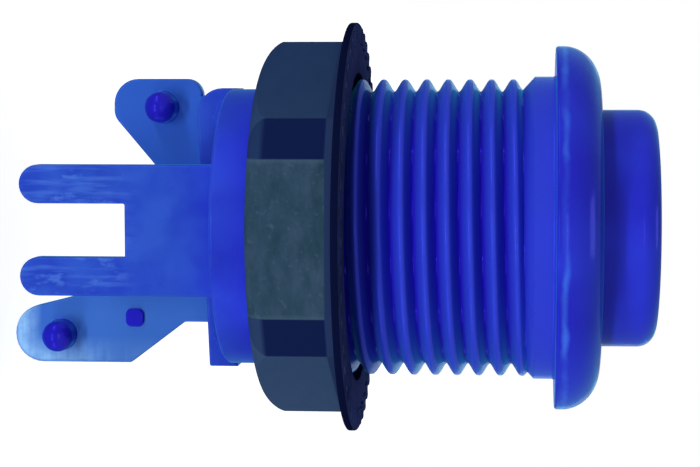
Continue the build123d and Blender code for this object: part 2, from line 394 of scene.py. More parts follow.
# %% Slate nylon: coats and shader
tones = {}
for name, share, first, second in (
    # painted light: the flats grow paler towards +X
    ("flat", zones["lighter towards +X"], "#223860", "#354b6e"),
    ("scuff", cloudy, "#1a3845", "#3a5068"),
    ("flange", rubbed, "#0a1030", "#3a4876"),
):
    ends = {"Factor": share, "A": linear(first), "B": linear(second)}
    tones[name] = add(tree, "ShaderNodeMix", ends, data_type="RGBA")
colour = linear("#101d46")
for share, coat in (
    # painted light and shade: the flats and the rounded back paler than the corners
    (painted_lit_faces, tones["flat"]),
    (scuffed, tones["scuff"]),
    # pale nicks, and flat ends that are partly worn and partly a painted edge highlight
    (nicked_and_highlit_edges, linear("#566c80")),
    (zones["beside the flange"], linear("#24345a")),
    (zones["flange"], tones["flange"]),
):
    colour = add(tree, "ShaderNodeMix", {"Factor": share, "A": colour, "B": coat}, data_type="RGBA")
satin = add(tree, "ShaderNodeMapRange", {0: clouds["nicks"], 1: 0.3, 2: 0.7, 3: 0.5, 4: 0.62})
roughness = add(tree, "ShaderNodeMath", {0: scuffed, 1: 0.12, 2: satin}, operation="MULTIPLY_ADD")
bump = {"Height": clouds["pits"], "Strength": 0.18, "Distance": 0.05 * mm}
bump = add(tree, "ShaderNodeBump", bump)
shader = add(
    tree,
    "ShaderNodeBsdfPrincipled",
    {
        "Base Color": colour,
        "Roughness": roughness,
        "IOR": 1.53,
        "Metallic": 0.08,
        "Specular IOR Level": 0.0,
        "Specular Tint": linear("#20305c"),
        "Normal": bump,
    },
)
add(tree, "ShaderNodeOutputMaterial", {"Surface": shader})
print(slate_nylon.name, "with", len(tree.nodes), "nodes")

# %% [markdown]
# The spring is drawn steel wire: a grey shine, with fine marks from the drawing. Real marks are too
# fine to show, so these are drawn coarser.

# %% Spring steel, drawn wire
spring_steel, tree = new_material("Spring steel, drawn wire")
draw_mark = 0.25 * mm
place = add(tree, "ShaderNodeTexCoord").outputs["Object"]
marks = add(tree, "ShaderNodeTexNoise", {"Vector": place, "Scale": 1 / draw_mark, "Detail": 2})
roughness = add(tree, "ShaderNodeMapRange", {0: marks, 1: 0.3, 2: 0.7, 3: 0.25, 4: 0.45})
ends = {"Factor": marks, "A": linear("#a9abae"), "B": linear("#c6c7c9")}
tone = add(tree, "ShaderNodeMix", ends, data_type="RGBA")
shader = {"Base Color": tone, "Metallic": 1, "Roughness": roughness}
shader = add(tree, "ShaderNodeBsdfPrincipled", shader)
add(tree, "ShaderNodeOutputMaterial", {"Surface": shader})
print(spring_steel.name, "with", len(tree.nodes), "nodes")

# %% [markdown]
# The thread, the teeth of the nut and the spring follow a rule, so Geometry Nodes make them. Every
# tree starts with named inputs for its sizes and ends as real geometry in a material. Two functions
# do that, and a third winds points round the button's axis.


# %% Helpers for trees
def start_tree(name, lengths, counts):
    """An empty Geometry Nodes tree, and its inputs for those lengths and counts and a material."""
    tree = bpy.data.node_groups.new(name, "GeometryNodeTree")
    tree.is_modifier = True
    for names, kind in ((lengths, "Float"), (counts, "Int"), (["Material"], "Material")):
        for size_name in names:
            tree.interface.new_socket(size_name, in_out="INPUT", socket_type="NodeSocket" + kind)
    tree.interface.new_socket("Geometry", in_out="OUTPUT", socket_type="NodeSocketGeometry")
    return tree, add(tree, "NodeGroupInput").outputs


def end_tree(tree, geometry, material):
    """Ends a tree with real geometry in that material."""
    real = add(tree, "GeometryNodeRealizeInstances", {"Geometry": geometry})
    coloured = add(tree, "GeometryNodeSetMaterial", {"Geometry": real, "Material": material})
    add(tree, "NodeGroupOutput", {"Geometry": coloured})


def about_axis(tree, angle, radius, height):
    """The place at that angle, radius and height about the Z axis."""
    place = {2: height}
    for axis, wave in enumerate(("COSINE", "SINE")):
        place[axis] = add(tree, "ShaderNodeMath", {0: angle}, operation=wave)
        place[axis] = add(tree, "ShaderNodeMath", {0: radius, 1: place[axis]}, operation="MULTIPLY")
    return add(tree, "ShaderNodeCombineXYZ", place)


print("node groups before the first tree:", len(bpy.data.node_groups))

# %% [markdown]
# The thread is the main feature of the barrel: one right-handed ridge with a pitch of 2 mm, coarse
# enough for a moulded nut. Rings would look nearly the same in one view and wrong in the next, so
# the true helix is worth having. A flat grid is wrapped round the barrel, and each point's radius
# comes from how far it is, along the axis, from the ridge at its angle. At the rear the groove fades
# out over one pitch. In front the ridge runs into the cone behind the shoulder, which is simply the
# larger of two radii.

# %% Thread tree: grid and groove
tree, size = start_tree(
    "Moulded thread",
    ("Pitch", "Crest Radius", "Depth", "Crest Share", "Start", "Front", "Rear", "Cone Radius", "Cone Slope"),
    ("Sides", "Steps"),
)
grid = {"Size X": 1.0, "Size Y": 1.0}
for way, count in (("Vertices X", "Sides"), ("Vertices Y", "Steps")):
    grid[way] = add(tree, "ShaderNodeMath", {0: size[count], 1: 1.0}, operation="ADD")
grid = add(tree, "GeometryNodeMeshGrid", grid)
spot = add(tree, "ShaderNodeSeparateXYZ", {0: add(tree, "GeometryNodeInputPosition")}).outputs
turn = add(tree, "ShaderNodeMath", {0: spot["X"], 1: 0.5}, operation="ADD")
height = {0: spot["Y"], 1: -0.5, 2: 0.5, 3: size["Rear"], 4: size["Front"]}
height = add(tree, "ShaderNodeMapRange", height)

# How far the point is from the ridge, in turns. The groove's end lies past half a turn, so the root is a V
groove_end = 0.56
from_ridge = height
for step, value in (
    ("SUBTRACT", size["Start"]),
    ("DIVIDE", size["Pitch"]),
    ("SUBTRACT", turn),
    ("PINGPONG", 0.5),
):
    from_ridge = add(tree, "ShaderNodeMath", {0: from_ridge, 1: value}, operation=step)
groove = {0: from_ridge, 1: size["Crest Share"], 2: groove_end, 3: 0.0, 4: size["Depth"]}
groove = add(tree, "ShaderNodeMapRange", groove, interpolation_type="SMOOTHSTEP")
print("thread tree with", len(tree.nodes), "nodes so far")

# %% Thread tree: ends and wrap
fade = add(tree, "ShaderNodeMath", {0: size["Rear"], 1: size["Pitch"]}, operation="ADD")
run_out = add(tree, "ShaderNodeMapRange", {0: height, 1: size["Rear"], 2: fade})
depth = add(tree, "ShaderNodeMath", {0: groove, 1: run_out}, operation="MULTIPLY")
ridge_r = add(tree, "ShaderNodeMath", {0: size["Crest Radius"], 1: depth}, operation="SUBTRACT")

# The cone behind the shoulder, which the ridge runs into
drop = add(tree, "ShaderNodeMath", {0: size["Front"], 1: height}, operation="SUBTRACT")
drop = add(tree, "ShaderNodeMath", {0: drop, 1: size["Cone Slope"]}, operation="MULTIPLY")
cone_r = add(tree, "ShaderNodeMath", {0: size["Cone Radius"], 1: drop}, operation="SUBTRACT")
radius = add(tree, "ShaderNodeMath", {0: ridge_r, 1: cone_r}, operation="MAXIMUM")

angle = add(tree, "ShaderNodeMath", {0: turn, 1: 2 * math.pi}, operation="MULTIPLY")
wrapped = about_axis(tree, angle, radius, height)
tube = add(tree, "GeometryNodeSetPosition", {"Geometry": grid, "Position": wrapped})
welded = add(tree, "GeometryNodeMergeByDistance", {"Geometry": tube, "Distance": 1e-6})
end_tree(tree, welded, size["Material"])
print("thread tree with", len(tree.nodes), "nodes")

# %% [markdown]
# A tree is only a recipe. One small function gives it an empty object and sets its inputs by their
# identifiers. Another puts the result into the object's own mesh and takes the modifier off, so that
# nothing live is left on a piece.


# %% Helpers for grown shapes
def baked(made):
    """Puts the modifiers' result into the object's own mesh, and takes the modifiers off."""
    evaluated = made.evaluated_get(bpy.context.evaluated_depsgraph_get())
    mesh = bpy.data.meshes.new_from_object(evaluated)
    made.modifiers.clear()
    made.data = mesh
    return made


def grown(name, tree, values):
    """An object that a Geometry Nodes tree makes, as a plain mesh. values maps its inputs to sizes."""
    made = bpy.data.objects.new(name, bpy.data.meshes.new(name))
    scene.collection.objects.link(made)
    nodes = made.modifiers.new(name, "NODES")
    nodes.node_group = tree
    for socket in tree.interface.items_tree:
        if socket.in_out == "INPUT":
            nodes[socket.identifier] = values[socket.name]
    return baked(made)


print("inputs of the thread tree:", len(tree.interface.items_tree) - 1)

# %% Thread
sides = 192
shoulder_r = 14.0 * mm
shoulder_rear = -1.9 * mm
thread_pitch = 2.0 * mm
steps_per_turn = 16
thread = grown(
    "thread",
    tree,
    {
        "Pitch": thread_pitch,
        "Crest Radius": crest_r,
        "Depth": 1.2 * mm,
        "Crest Share": 0.04,
        "Start": -2.9 * mm,
        "Front": shoulder_rear,
        "Rear": thread_rear,
        "Cone Radius": shoulder_r,
        "Cone Slope": 1.1,
        "Sides": sides,
        "Steps": round((shoulder_rear - thread_rear) / thread_pitch * steps_per_turn),
        "Material": blue_abs,
    },
)
print("thread with", len(thread.data.polygons), "faces")

# %% [markdown]
# Most of the button is round about its axis. So most shapes here start as a profile, a line of radius
# and height whose corners are rounded, and a function sweeps that line round the Z axis. A shape then
# becomes an object with a material.


# %% Helper for rounded lines
def rounded(corners, closed=False):
    """Points of a line through corners (u, v, radius), with an arc at each corner that has a radius."""
    arc_step = math.radians(12)
    points = []
    for index, (u, v, radius) in enumerate(corners):
        corner = Vector((u, v))
        at_end = not closed and index in (0, len(corners) - 1)
        if at_end or radius == 0:
            points.append(corner)
            continue
        before = (Vector(corners[index - 1][:2]) - corner).normalized()
        after = (Vector(corners[(index + 1) % len(corners)][:2]) - corner).normalized()
        half = before.angle(after) / 2
        centre = corner + (before + after).normalized() * radius / math.sin(half)
        turn = (-before).angle_signed(after)
        steps = max(2, math.ceil(abs(turn) / arc_step))
        start = corner + before * radius / math.tan(half) - centre
        for step in range(steps + 1):
            points.append(centre + Matrix.Rotation(-turn * step / steps, 2) @ start)
    return points


print("a round corner has", len(rounded([(0, 1, 0), (1, 1, 0.5), (1, 0, 0)])) - 2, "points")


# %% Helpers for turned shapes
def turned(profile, sides):
    """A shell swept round Z from a profile of (radius, height) that runs up its outer side."""
    shell = bmesh.new()
    angles = [2 * math.pi * side / sides for side in range(sides)]
    rings = []
    for radius, height in profile:
        rings.append([shell.verts.new((radius * math.cos(a), radius * math.sin(a), height)) for a in angles])
    for lower, upper in zip(rings, rings[1:]):
        for side in range(sides):
            beside = (side + 1) % sides
            shell.faces.new((lower[side], lower[beside], upper[beside], upper[side]))
    bmesh.ops.remove_doubles(shell, verts=shell.verts, dist=1e-7)
    return shell


def quarter(steps):
    """Angles from zero to a quarter turn, in equal steps."""
    return [math.pi / 2 * step / steps for step in range(steps + 1)]


def piece(name, shell, material):
    """A linked object of that mesh, at the origin."""
    mesh = bpy.data.meshes.new(name)
    shell.to_mesh(mesh)
    shell.free()
    mesh.materials.append(material)
    made = bpy.data.objects.new(name, mesh)
    scene.collection.objects.link(made)
    return made


print("a quarter turn in three steps:", [round(math.degrees(angle)) for angle in quarter(3)])

# %% [markdown]
# In front of the thread come the shoulder that fills the panel hole and the bezel with its
# elliptical crown; behind it the collar and the floor. Both profiles end on the thread's first and
# last rings, with the same number of sides, so that merging the points closes the barrel without a
# seam. The bore is a plain cylinder that the plunger slides in.

# %% Barrel profiles
bore_r = 11.25 * mm
collar_r = 12.85 * mm
floor_rear = floor_front - 1.8 * mm
bezel_side = 0.7 * mm
bezel_crown = 3.8 * mm
crown_steps = 16
crown = []
for turn in quarter(crown_steps)[1:-1]:
    height = bezel_side + (bezel_top - bezel_side) * math.sin(turn)
    crown.append((bezel_r - bezel_crown * (1 - math.cos(turn)), height))
under_bezel = [
    (shoulder_r, shoulder_rear, 0),
    (shoulder_r, 0, 0.3 * mm),
    (bezel_r, 0, 0.25 * mm),
    (bezel_r, bezel_side, 0),
]
into_bore = [
    (bezel_r - bezel_crown, bezel_top, 0),
    (bore_r, bezel_top, 0.5 * mm),
    (bore_r, floor_front, 0.4 * mm),
    (0, floor_front, 0),
]
round_collar = [
    (0, floor_rear, 0),
    (collar_r, floor_rear, 0.3 * mm),
    (collar_r, thread_rear, 0.2 * mm),
    (crest_r, thread_rear, 0),
]
front_profile = [*rounded(under_bezel), *crown, *rounded(into_bore)]
print("profile of the bezel and the bore with", len(front_profile), "points")

# %% Barrel
barrel = bmesh.new()
barrel.from_mesh(thread.data)
for profile in (front_profile, rounded(round_collar)):
    shell = turned(profile, sides)
    shell_mesh = bpy.data.meshes.new("shell")
    shell.to_mesh(shell_mesh)
    shell.free()
    barrel.from_mesh(shell_mesh)
    bpy.data.meshes.remove(shell_mesh)
bmesh.ops.remove_doubles(barrel, verts=barrel.verts, dist=1e-6)
open_edges = sum(1 for edge in barrel.edges if not edge.is_manifold)
bpy.data.objects.remove(thread)
housing = piece("housing_moulding", barrel, blue_abs)
print("barrel with", len(housing.data.polygons), "faces and", open_edges, "open edges")

# %% [markdown]
# Behind the floor is the cradle for a miniature switch, which is empty here. A fork with two
# round-ended fingers stands on the near side and a plate with two ears on the far side; the plate
# grows out of a low heel. Each is a flat moulding, so an outline with rounded corners and a
# thickness is all that it needs, with a small bevel on both rims so that its edges catch the light.


# %% Helper for plates
def slab(outline, low, high, rim, axis):
    """A plate of the outline's shape across the axis, from low to high, with both rims bevelled."""
    plate = bmesh.new()
    bottom = plate.faces.new([plate.verts.new((u, v, low)) for u, v in outline])
    top = bmesh.ops.extrude_face_region(plate, geom=[bottom])["geom"]
    raised = [part for part in top if isinstance(part, bmesh.types.BMVert)]
    bmesh.ops.translate(plate, verts=raised, vec=(0, 0, high - low))
    bmesh.ops.recalc_face_normals(plate, faces=plate.faces)
    if rim:
        rims = [edge for edge in plate.edges if edge.verts[0].co.z == edge.verts[1].co.z]
        bmesh.ops.bevel(plate, geom=rims, offset=rim, segments=3, profile=0.5, affect="EDGES")
    if axis == "Y":
        swap_y_z = Matrix(((1, 0, 0), (0, 0, 1), (0, 1, 0))).to_4x4()
        bmesh.ops.transform(plate, matrix=swap_y_z, verts=plate.verts)
        bmesh.ops.reverse_faces(plate, faces=plate.faces)
    return plate


wall = 1.6 * mm
plate_rim = 0.2 * mm
root = floor_rear + 0.4 * mm
print("cradle walls of", round(wall / mm, 2), "mm")

# %% Fork
fork_half = 6.0 * mm
finger = 3.55 * mm
finger_round = finger / 2 - 0.01 * mm
slot_half = fork_half - finger
slot_round = 0.15 * mm
fork_base = floor_rear - 8.75 * mm
fork_end = floor_rear - 18.5 * mm
fork_outline = [
    (-fork_half, root, 0),
    (-fork_half, fork_end, finger_round),
    (-slot_half, fork_end, finger_round),
    (-slot_half, fork_base, slot_round),
    (slot_half, fork_base, slot_round),
    (slot_half, fork_end, finger_round),
    (fork_half, fork_end, finger_round),
    (fork_half, root, 0),
]
print("fork with fingers of", round(finger / mm, 2), "mm")

# %% Stud plate
stud_rise = 5.15 * mm
upper_z = stud_middle.z + stud_rise
lower_z = stud_middle.z - stud_rise
ear_x = stud_x + ear_round
step_x = 12.2 * mm
nose_x = 10.2 * mm
waist_x = 9.8 * mm
waist_z = floor_rear - 5.55 * mm
ear_front = upper_z + 3.8 * mm
ear_nose = upper_z - 4.85 * mm
long_ear_front = lower_z + 6.85 * mm
long_ear_x = 8.85 * mm
notch_upper = -3.1 * mm
notch_lower = 4.8 * mm
notch_z = floor_rear - 6.3 * mm
plate_outline = [
    (-step_x, root, 0),
    (-step_x, ear_front, 0),
    (-ear_x, ear_front, 1.6 * mm),
    (-ear_x, ear_nose, 2.4 * mm),
    (-nose_x, ear_nose, 1.6 * mm),
    (notch_upper, notch_z, 0.4 * mm),
    (notch_lower, notch_z, 0.4 * mm),
    (long_ear_x, housing_low.z, ear_round),
    (ear_x, housing_low.z, ear_round),
    (ear_x, long_ear_front, 0.5 * mm),
    (waist_x, waist_z, 0.5 * mm),
    (waist_x, root, 0),
]
print("stud plate with", len(plate_outline), "corners")

# %% Heel and the three plates
heel_y = 2.8 * mm
heel_front = floor_rear + 0.02 * mm
heel_rear = floor_rear - 2.7 * mm
heel_slant = 1.1 * mm
heel_upper = -12.95 * mm
heel_lower = 13.75 * mm
plate_back = plate_y + wall
heel_back = plate_back + 1.0 * mm
heel_outline = [
    (heel_upper, heel_front, 0),
    (heel_upper, heel_rear - heel_slant, 2.4 * mm),
    (heel_lower, heel_rear, 0.2 * mm),
    (heel_lower, heel_front, 0),
]
plates = []
for name, outline, low, high in (
    ("heel", heel_outline, heel_y, heel_back),
    ("stud_plate", plate_outline, plate_y, plate_back),
    ("fork", fork_outline, fork_y - wall, fork_y),
):
    plate = slab(rounded(outline, closed=True), low, high, plate_rim, "Y")
    plates.append(piece(name, plate, blue_abs))
print("heel, plate and fork with", sum(len(made.data.polygons) for made in plates), "faces")

# %% [markdown]
# Two studs on the plate's ears hold the switch, and a low pad keeps it off the plate. The studs are
# turned pins with a domed end and a small fillet at the foot, laid along Y.

# %% Studs
stud_r = mounts["switch_studs"]["dims"]["stud_r_mm"] * mm
stud_length = 2.9 * mm
stud_root = -0.4 * mm
stud_sides = 40
dome_height = 1.2 * mm
dome_steps = 8
foot = 0.15 * mm
foot_steps = 5
stud_profile = [(0, stud_root), (stud_r + foot, stud_root)]
for turn in quarter(foot_steps):
    stud_profile.append((stud_r + foot * (1 - math.sin(turn)), foot * (1 - math.cos(turn))))
stud_profile.append((stud_r, stud_length - dome_height))
for turn in quarter(dome_steps)[1:]:
    stud_profile.append((stud_r * math.cos(turn), stud_length - dome_height * (1 - math.sin(turn))))
studs = []
for across, height in ((-stud_x, upper_z), (stud_x, lower_z)):
    stud = turned(stud_profile, stud_sides)
    lay_down = Matrix.Translation((across, plate_y, height)) @ Matrix.Rotation(math.radians(90), 4, "X")
    bmesh.ops.transform(stud, matrix=lay_down, verts=stud.verts)
    studs.append(piece("stud", stud, blue_abs))
print(len(studs), "studs of", round(2 * stud_r / mm, 2), "mm")

# %% Pad
pad_half = 0.9 * mm
pad_round = 0.6 * mm
pad_height = 0.3 * mm
pad_root = 0.4 * mm
pad_x = stud_x - 1.7 * mm
pad_z = lower_z + 7.3 * mm
pad_signs = ((-1, -1), (1, -1), (1, 1), (-1, 1))
pad_outline = [(pad_x + u * pad_half, pad_z + v * pad_half, pad_round) for u, v in pad_signs]
pad = slab(rounded(pad_outline, closed=True), plate_y - pad_height, plate_y + pad_root, plate_rim, "Y")
pad = piece("pad", pad, blue_abs)
print("pad with", len(pad.data.polygons), "faces")

# %% [markdown]
# Solids are joined and cut with the exact boolean solver. The floor has a hole for the plunger's stem
# and two windows for its legs, which are cut last, where a mould has its cores. A window follows the
# curve of the bore, so its outline is a bar between two arcs.


# %% Housing, joined
def combine(made, others, operation):
    """Joins other solids to a piece, cuts them from it or keeps what they share, one after another."""
    for other in others:
        boolean = made.modifiers.new(operation.lower(), "BOOLEAN")
        boolean.operation = operation
        boolean.solver = "EXACT"
        boolean.object = other
        baked(made)
        bpy.data.objects.remove(other)


combine(housing, [*plates, *studs, pad], "UNION")
print("housing without its cuts with", len(housing.data.polygons), "faces")


# %% Cuts in the floor
def curved_bar(side, half, outer_r, inner_r):
    """The outline of a bar between two arcs about the axis, of that half width, on one side of it."""
    steps = 6
    outline = []
    for radius, way in ((outer_r, 1), (inner_r, -1)):
        for step in range(-steps, steps + 1):
            angle = way * math.asin(half / radius) * step / steps
            outline.append((side * radius * math.cos(angle), radius * math.sin(angle)))
    return outline


leg_r = plunger_r - 0.4 * mm
window_r = leg_r + 0.3 * mm
window_inner = leg_r - 2.6 * mm
window_half = 2.8 * mm
stem_hole_r = 2.8 * mm
stem_sides = 64
cut_low = floor_rear - 0.5 * mm
cut_high = floor_front + 0.5 * mm
stem_cut = [(0, cut_low), (stem_hole_r, cut_low), (stem_hole_r, cut_high), (0, cut_high)]
cutters = [piece("stem_cut", turned(stem_cut, stem_sides), blue_abs)]
for side in (-1, 1):
    window = curved_bar(side, window_half, window_r, window_inner)
    cutters.append(piece("window_cut", slab(window, cut_low, cut_high, 0, "Z"), blue_abs))
combine(housing, cutters, "DIFFERENCE")
print("housing with", len(housing.data.polygons), "faces")

# %% [markdown]
# A finished piece is shaded smooth, with its flats kept flat. Edges stay sharp where two faces meet
# at a clear angle.


# %% Smooth shading
def smooth(made, limit=math.radians(35)):
    """Smooth shading that keeps flats flat, with sharp edges where faces meet at more than the limit."""
    made.data.polygons.foreach_set("use_smooth", [True] * len(made.data.polygons))
    made.data.set_sharp_from_angle(angle=limit)
    flats = made.modifiers.new("flats", "WEIGHTED_NORMAL")
    flats.keep_sharp = True
    baked(made)


smooth(housing)
print("housing shaded, with", len(housing.data.vertices), "points")

# %% [markdown]
# The plunger is a cap with a soft rim on a long skirt. Crossed ribs stiffen it and seat the spring,
# a stem in the middle presses the switch, and two legs with hooks snap under the floor and keep the
# plunger in.

# %% Plunger
cap_under = plunger_top - 1.6 * mm
skirt_r = plunger_r - 1.4 * mm
skirt_end = -14.0 * mm
skirt_round = 0.15 * mm
cap_profile = [
    (0, cap_under, 0),
    (skirt_r, cap_under, 0.4 * mm),
    (skirt_r, skirt_end, skirt_round),
    (plunger_r, skirt_end, skirt_round),
    (plunger_r, plunger_top, 1.7 * mm),
    (0, plunger_top, 0),
]
plunger = piece("plunger_moulding", turned(rounded(cap_profile), sides), blue_abs)
rib_half = 0.8 * mm
rib_reach = skirt_r + 0.7 * mm
rib_top = cap_under + 0.5 * mm
rib_rim = 0.1 * mm
bar = [(-rib_reach, -rib_half), (rib_reach, -rib_half), (rib_reach, rib_half), (-rib_reach, rib_half)]
inner_parts = []
for turn in (45, 135):
    rib = slab(bar, rib_seat, rib_top, rib_rim, "Z")
    bmesh.ops.rotate(rib, matrix=Matrix.Rotation(math.radians(turn), 3, "Z"), verts=rib.verts)
    inner_parts.append(piece("rib", rib, blue_abs))
stem_r = 2.5 * mm
stem_end = floor_rear - 0.7 * mm
stem_profile = [(0, stem_end, 0), (stem_r, stem_end, 0.8 * mm), (stem_r, rib_top, 0), (0, rib_top, 0)]
inner_parts.append(piece("stem", turned(rounded(stem_profile), stem_sides), blue_abs))
print("plunger cap with", len(plunger.data.polygons), "faces")

# %% [markdown]
# Two legs hang from the skirt. Each has a wide upper part that stops the stroke, and a narrow one that
# passes a window in the floor and ends in a hook. They follow the curve of the skirt, so an outline
# of two arcs with a thickness makes each of them.

# %% Legs and hooks
leg_inner = leg_r - 1.4 * mm
leg_top = skirt_end + 6.0 * mm
leg_half = 2.5 * mm
leg_rim = 0.08 * mm
stop_half = 4.0 * mm
stop_level = floor_front + press_travel + 0.1 * mm
hook_root = leg_r - 0.7 * mm
hook_r = leg_r + 1.2 * mm
hook_top = floor_rear - 0.1 * mm
hook_lip = hook_top - 0.65 * mm
hook_end = hook_top - 1.3 * mm
hook_corners = ((hook_root, hook_top), (hook_r, hook_top), (hook_r, hook_lip), (hook_root, hook_end))
for side in (-1, 1):
    for half, end in ((stop_half, stop_level), (leg_half, hook_end)):
        leg = curved_bar(side, half, leg_r, leg_inner)
        inner_parts.append(piece("leg", slab(leg, end, leg_top, leg_rim, "Z"), blue_abs))
    hook = [(side * reach, height) for reach, height in hook_corners]
    inner_parts.append(piece("hook", slab(hook, -leg_half, leg_half, leg_rim, "Y"), blue_abs))
combine(plunger, inner_parts, "UNION")
smooth(plunger)
print("plunger with", len(plunger.data.polygons), "faces")

# %% [markdown]
# The nut is a hexagon whose six corners are cut blunt, rounded behind where a hand grips it, with a
# washer flange in front. The real edge behind is a little flatter than an ellipse, so the profile is
# a superellipse. What the hexagon and the turned profile share is the nut, as if cut on a lathe.

# %% Hexagon
blunt_r = 17.2 * mm
corner_round = 0.4 * mm
nut_corners = []
for side in range(12):
    first, second = math.radians(30 * side), math.radians(30 * side + 30)
    reach = (blunt_r, flat_r) if side % 2 == 0 else (flat_r, blunt_r)
    directions = Matrix(((math.cos(first), math.sin(first)), (math.cos(second), math.sin(second))))
    corner = directions.inverted() @ Vector(reach)
    nut_corners.append((corner.x, corner.y, corner_round))
hexagon = slab(rounded(nut_corners, closed=True), nut_rear, nut_front, 0, "Z")
nut = piece("nut_moulding", hexagon, slate_nylon)
print("hexagon with", len(nut.data.polygons), "faces")

# %% Back of the nut
flange_wall = 0.85 * mm
back_r = blunt_r + 0.15 * mm
back_across = 2.6 * mm
back_along = 2.0 * mm
back_power = 1.7
back_steps = 14
neck = nut_front - flange_wall / 2
back_profile = [(0, nut_rear)]
for turn in quarter(back_steps):
    across = back_across * (1 - math.sin(turn) ** (2 / back_power))
    along = back_along * (1 - math.cos(turn) ** (2 / back_power))
    back_profile.append((back_r - across, nut_rear + along))
back_profile += [(back_r, neck), (0, neck)]
print("profile of the back with", len(back_profile), "points")

# %% Flange and bore
flange_round = 0.15 * mm
tooth_height = 0.15 * mm
nut_sides = 288
flange_rear = nut_front - flange_wall
flange_front = nut_front - tooth_height
flange_profile = [
    (0, flange_rear, 0),
    (flange_r, flange_rear, flange_round),
    (flange_r, flange_front, flange_round),
    (0, flange_front, 0),
]
bore_clear_r = 13.9 * mm
bore_edge = 0.5 * mm
past_end = 1 * mm
mouth_r = bore_clear_r + bore_edge + past_end
bore_profile = [
    (0, nut_rear - past_end),
    (mouth_r, nut_rear - past_end),
    (bore_clear_r, nut_rear + bore_edge),
    (bore_clear_r, flange_front - bore_edge),
    (mouth_r, flange_front + past_end),
    (0, flange_front + past_end),
]
for name, profile, operation in (
    ("nut_back", back_profile, "INTERSECT"),
    ("flange", rounded(flange_profile), "UNION"),
    ("nut_bore", bore_profile, "DIFFERENCE"),
):
    combine(nut, [piece(name, turned(profile, nut_sides), slate_nylon)], operation)
print("nut with", len(nut.data.polygons), "faces")

# %% [markdown]
# The flange bites the panel with a ring of small teeth near its rim, which keep the nut from
# shaking loose. They are one wedge, repeated round a circle, so Geometry Nodes place them.

# %% Teeth tree
tree, size = start_tree(
    "Ring of teeth", ("Radius", "Level", "Length", "Width", "Height", "Taper"), ("Count",)
)
block = add(tree, "ShaderNodeCombineXYZ", {0: size["Length"], 1: size["Width"], 2: size["Height"]})
block = add(tree, "GeometryNodeMeshCube", {"Size": block})
spot = add(tree, "ShaderNodeSeparateXYZ", {0: add(tree, "GeometryNodeInputPosition")}).outputs
at_tip = add(tree, "ShaderNodeMath", {0: spot["Z"], 1: 0.0}, operation="GREATER_THAN")
narrow = add(tree, "ShaderNodeMapRange", {0: at_tip, 3: 1.0, 4: size["Taper"]})
tip_y = add(tree, "ShaderNodeMath", {0: spot["Y"], 1: narrow}, operation="MULTIPLY")
wedge = add(tree, "ShaderNodeCombineXYZ", {0: spot["X"], 1: tip_y, 2: spot["Z"]})
tooth = add(tree, "GeometryNodeSetPosition", {"Geometry": block, "Position": wedge})
ring = add(tree, "GeometryNodeMeshCircle", {"Vertices": size["Count"], "Radius": size["Radius"]})
outward = {"Vector": add(tree, "GeometryNodeInputPosition")}
outward = add(tree, "FunctionNodeAlignRotationToVector", outward, axis="X", pivot_axis="Z")
teeth = {"Points": ring, "Instance": tooth, "Rotation": outward}
teeth = add(tree, "GeometryNodeInstanceOnPoints", teeth)
lift = add(tree, "ShaderNodeCombineXYZ", {2: size["Level"]})
lifted = add(tree, "GeometryNodeTransform", {"Geometry": teeth, "Translation": lift})
end_tree(tree, lifted, size["Material"])
print("teeth tree with", len(tree.nodes), "nodes")

# %% Teeth
teeth = grown(
    "teeth",
    tree,
    {
        "Radius": flange_r - 1.1 * mm,
        "Level": flange_front,
        "Length": 1.5 * mm,
        "Width": 1.5 * mm,
        "Height": 2 * tooth_height,
        "Taper": 0.5,
        "Count": 48,
        "Material": slate_nylon,
    },
)
combine(nut, [teeth], "UNION")
smooth(nut, math.radians(24))
print("nut and teeth with", len(nut.data.polygons), "faces")

# %% [markdown]
# The return spring stands on the floor round the stem and pushes on the ribs. It is a wire along a
# helix, so Geometry Nodes sweep a circle along a spiral whose end turns lie flat.

# %% Spring tree
tree, size = start_tree("Coil spring", ("Radius", "Wire Radius", "Turns", "Bottom", "Top"), ("Points",))
line = add(tree, "GeometryNodeMeshLine", {"Count": size["Points"]})
last = add(tree, "ShaderNodeMath", {0: size["Points"], 1: 1.0}, operation="SUBTRACT")
share = {0: add(tree, "GeometryNodeInputIndex"), 1: last}
share = add(tree, "ShaderNodeMath", share, operation="DIVIDE")
angle = add(tree, "ShaderNodeMath", {0: share, 1: size["Turns"]}, operation="MULTIPLY")
angle = add(tree, "ShaderNodeMath", {0: angle, 1: 2 * math.pi}, operation="MULTIPLY")
low = add(tree, "ShaderNodeMath", {0: size["Bottom"], 1: size["Wire Radius"]}, operation="ADD")
high = add(tree, "ShaderNodeMath", {0: size["Top"], 1: size["Wire Radius"]}, operation="SUBTRACT")
rise = {0: share, 1: 0.0, 2: 1.0, 3: low, 4: high}
rise = add(tree, "ShaderNodeMapRange", rise, interpolation_type="SMOOTHSTEP")
coil = about_axis(tree, angle, size["Radius"], rise)
helix = add(tree, "GeometryNodeSetPosition", {"Geometry": line, "Position": coil})
path = add(tree, "GeometryNodeMeshToCurve", {"Mesh": helix})
section = {"Resolution": 12, "Radius": size["Wire Radius"]}
section = add(tree, "GeometryNodeCurvePrimitiveCircle", section)
wire = {"Curve": path, "Profile Curve": section, "Fill Caps": True}
wire = add(tree, "GeometryNodeCurveToMesh", wire)
end_tree(tree, wire, size["Material"])
print("spring tree with", len(tree.nodes), "nodes")

# %% Spring
wire_r = 0.4 * mm
spring = grown(
    "coil_spring",
    tree,
    {
        "Radius": spring_high.x - wire_r,
        "Wire Radius": wire_r,
        "Turns": 5.0,
        "Bottom": floor_front,
        "Top": rib_seat,
        "Points": 320,
        "Material": spring_steel,
    },
)
smooth(spring)
print("spring with", len(spring.data.polygons), "faces")
